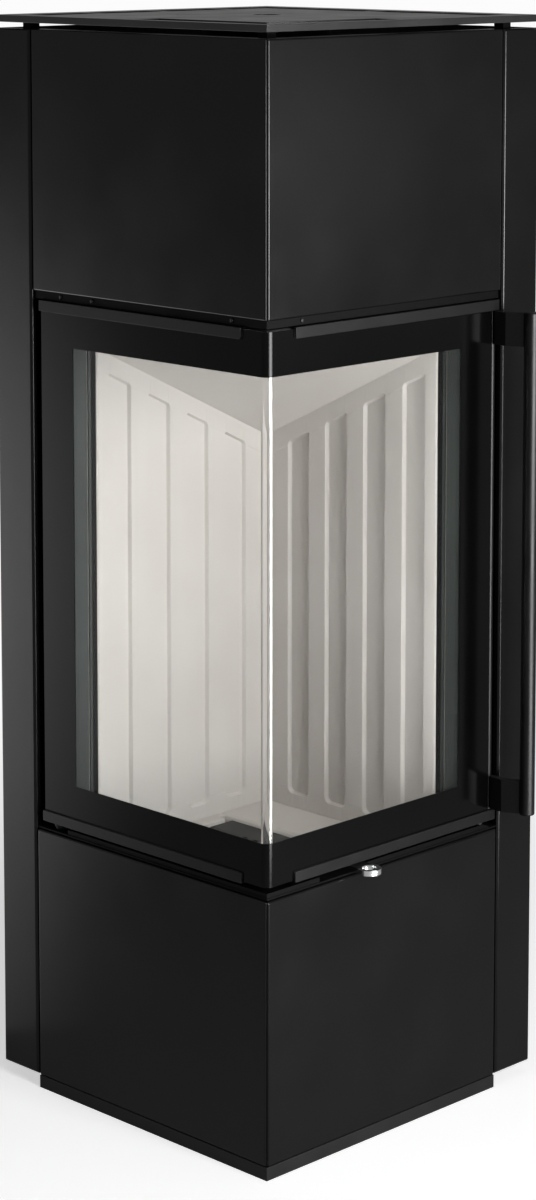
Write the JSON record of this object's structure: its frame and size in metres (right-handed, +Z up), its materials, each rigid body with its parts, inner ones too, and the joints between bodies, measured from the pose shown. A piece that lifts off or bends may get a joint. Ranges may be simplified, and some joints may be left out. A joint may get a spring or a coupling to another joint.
{
  "type": "tiled wood stove",
  "caption": "Square column wood stove with glossy black panels, a corner door with one bent glass, a long bar handle, a ring lever for the air and a slotted top plate.",
  "frame": {"origin": "on the floor under the middle of the square column, on the underside of the plinth", "axes": "+Z up; the glass corner points to +X and -Y, the front wing faces -Y and the right wing, with the handle, faces +X"},
  "size_m": [0.5032, 0.4524, 1.28],
  "materials": {
    "glazed_black": "glossy black glaze",
    "black_lacquer": "satin black heat-proof lacquer",
    "top_plate_lacquer": "satin black lacquer on thick plate",
    "strip_lacquer": "satin dark grey lacquer",
    "dark_steel": "dull dark grey heat-proof paint",
    "fire_glass": "clear heat-proof glass",
    "fireclay": "dry off-white pressed fireclay",
    "cast_iron": "cast grey iron",
    "bright_steel": "polished steel",
    "sealing_rope": "knitted glass-fibre rope",
    "handle_lacquer": "semi-gloss black lacquer"
  },
  "bodies": {
    "stove": {"air_duct": "dark_steel", "air_inlet": "dark_steel", "ash_pan": "dark_steel", "baffle": "fireclay", "base_sheet": "dark_steel", "door_rest": "bright_steel", "firebox_shell": "dark_steel", "floor_brick_back": "fireclay", "floor_brick_left": "fireclay", "flue_collar": "dark_steel", "front_frame": "dark_steel", "hinge_pin_lower": "dark_steel", "hinge_pin_upper": "dark_steel", "hinge_washer": "dark_steel", "latch_strike_lower": "bright_steel", "latch_strike_upper": "bright_steel", "levelling_foot_1": "bright_steel", "levelling_foot_2": "bright_steel", "levelling_foot_3": "bright_steel", "levelling_foot_4": "bright_steel", "lining_back": "fireclay", "lining_left": "fireclay", "lintel": "dark_steel", "lintel_screw_1": "dark_steel", "lintel_screw_2": "dark_steel", "lintel_screw_3": "dark_steel", "lintel_screw_4": "dark_steel", "lower_deck": "dark_steel", "lower_tile_front": "glazed_black", "lower_tile_right": "glazed_black", "plinth": "black_lacquer", "post_corner_lower": "dark_steel", "post_corner_upper": "dark_steel", "post_left": "dark_steel", "post_rear": "dark_steel", "post_right": "dark_steel", "rear_sheet_back": "black_lacquer", "rear_sheet_left": "black_lacquer", "side_panel_front": "glazed_black", "side_panel_right": "glazed_black", "top_plate": "top_plate_lacquer", "upper_deck": "dark_steel", "upper_tile_front": "glazed_black", "upper_tile_right": "glazed_black"},
    "door": {"door_frame": "black_lacquer", "door_glass": "fire_glass", "glass_tape": "sealing_rope", "door_rope": "sealing_rope", "glass_strip_lower_front": "strip_lacquer", "glass_strip_lower_right": "strip_lacquer", "glass_strip_upper_front": "strip_lacquer", "glass_strip_upper_right": "strip_lacquer"},
    "handle": {"latch_shaft": "handle_lacquer", "handle_bar": "handle_lacquer", "handle_arm_lower": "handle_lacquer", "handle_arm_upper": "handle_lacquer"},
    "air_control": {"air_lever": "bright_steel", "air_valve": "dark_steel"},
    "flue_cover": {"flue_cover": "top_plate_lacquer"},
    "grate": {"grate": "cast_iron"}
  },
  "joints": [
    {"name": "door_hinge", "type": "hinge", "parent": "stove", "child": "door", "pos_m": [-0.133, -0.2105, 0.64], "axis": [0, 0, -1], "range_deg": [0, 90]},
    {"name": "handle_turn", "type": "hinge", "parent": "door", "child": "handle", "pos_m": [0.2175, 0.1525, 0.64], "axis": [0, 0, -1], "range_deg": [0, 20]},
    {"name": "air_slide", "type": "slide", "parent": "stove", "child": "air_control", "axis": [0, -1, 0], "range_m": [0, 0.05]},
    {"name": "cover_lift", "type": "slide", "parent": "stove", "child": "flue_cover", "axis": [0, 0, 1], "range_m": [0, 0.1]},
    {"name": "grate_lift", "type": "slide", "parent": "stove", "child": "grate", "axis": [0, 0, 1], "range_m": [0, 0.06]}
  ]
}
